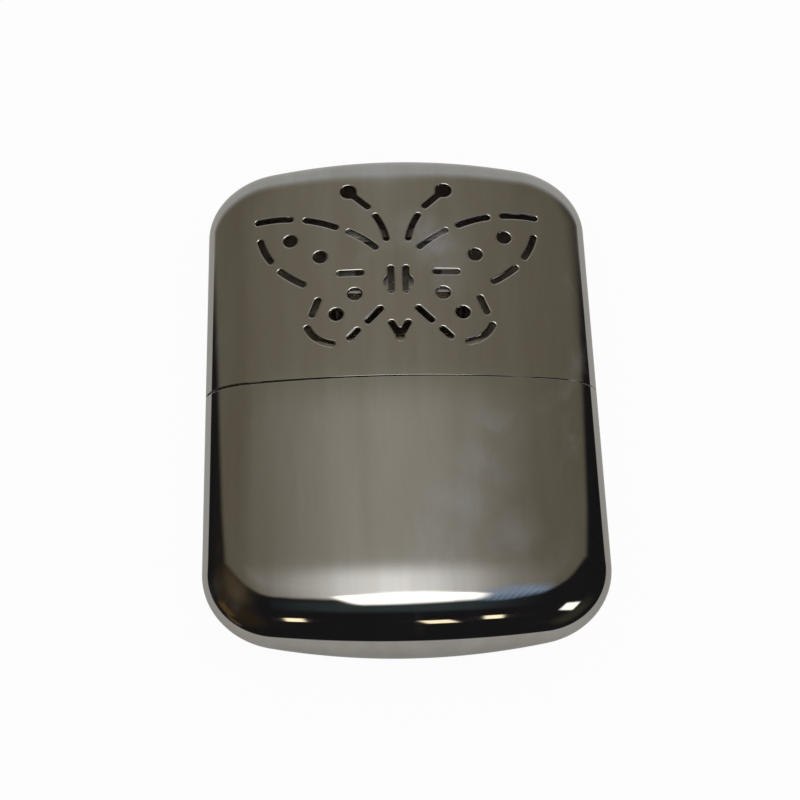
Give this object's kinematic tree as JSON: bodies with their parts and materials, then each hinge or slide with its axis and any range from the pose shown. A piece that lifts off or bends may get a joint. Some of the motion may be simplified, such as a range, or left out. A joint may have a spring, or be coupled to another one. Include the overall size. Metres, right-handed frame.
{
  "type": "catalytic hand warmer",
  "caption": "Flat plated pocket hand warmer: cotton-packed fuel tank, push-on catalytic burner head and a sliding lid pierced with a butterfly of slots and holes.",
  "frame": {"origin": "on the surface that the warmer lies on, under the middle of its box", "axes": "+Y from the tank's end to the lid's end, +Z out of the vented front face, X across the warmer"},
  "size_m": [0.068, 0.1, 0.013],
  "materials": {
    "nickel_plate": "polished nickel plate, warm grey",
    "tank_top_plate": "satin nickel plate with sliding marks",
    "burner_steel": "stamped nickel-plated sheet",
    "gauze_steel": "pierced heat-darkened sheet",
    "catalyst_fibre": "grey glass-fibre mat loaded with catalyst",
    "cotton_wadding": "loose cotton batting",
    "wick_felt": "pressed wool felt"
  },
  "bodies": {
    "tank": {"tank_shell": "nickel_plate", "tank_top": "tank_top_plate", "filler_neck": "tank_top_plate", "lower_cotton": "cotton_wadding", "upper_cotton": "cotton_wadding", "wick_felt": "wick_felt"},
    "burner": {"burner_skirt": "burner_steel", "diffuser_plate": "gauze_steel", "support_gauze": "gauze_steel", "catalyst_mat": "catalyst_fibre", "burner_cage": "burner_steel", "cage_cap": "burner_steel"},
    "lid": {"lid_shell": "nickel_plate"}
  },
  "joints": [
    {"name": "lid_slide", "type": "slide", "parent": "tank", "child": "lid", "axis": [0, 1, 0], "range_m": [0, 0.05]},
    {"name": "burner_slide", "type": "slide", "parent": "tank", "child": "burner", "axis": [0, 1, 0], "range_m": [0, 0.012]}
  ]
}
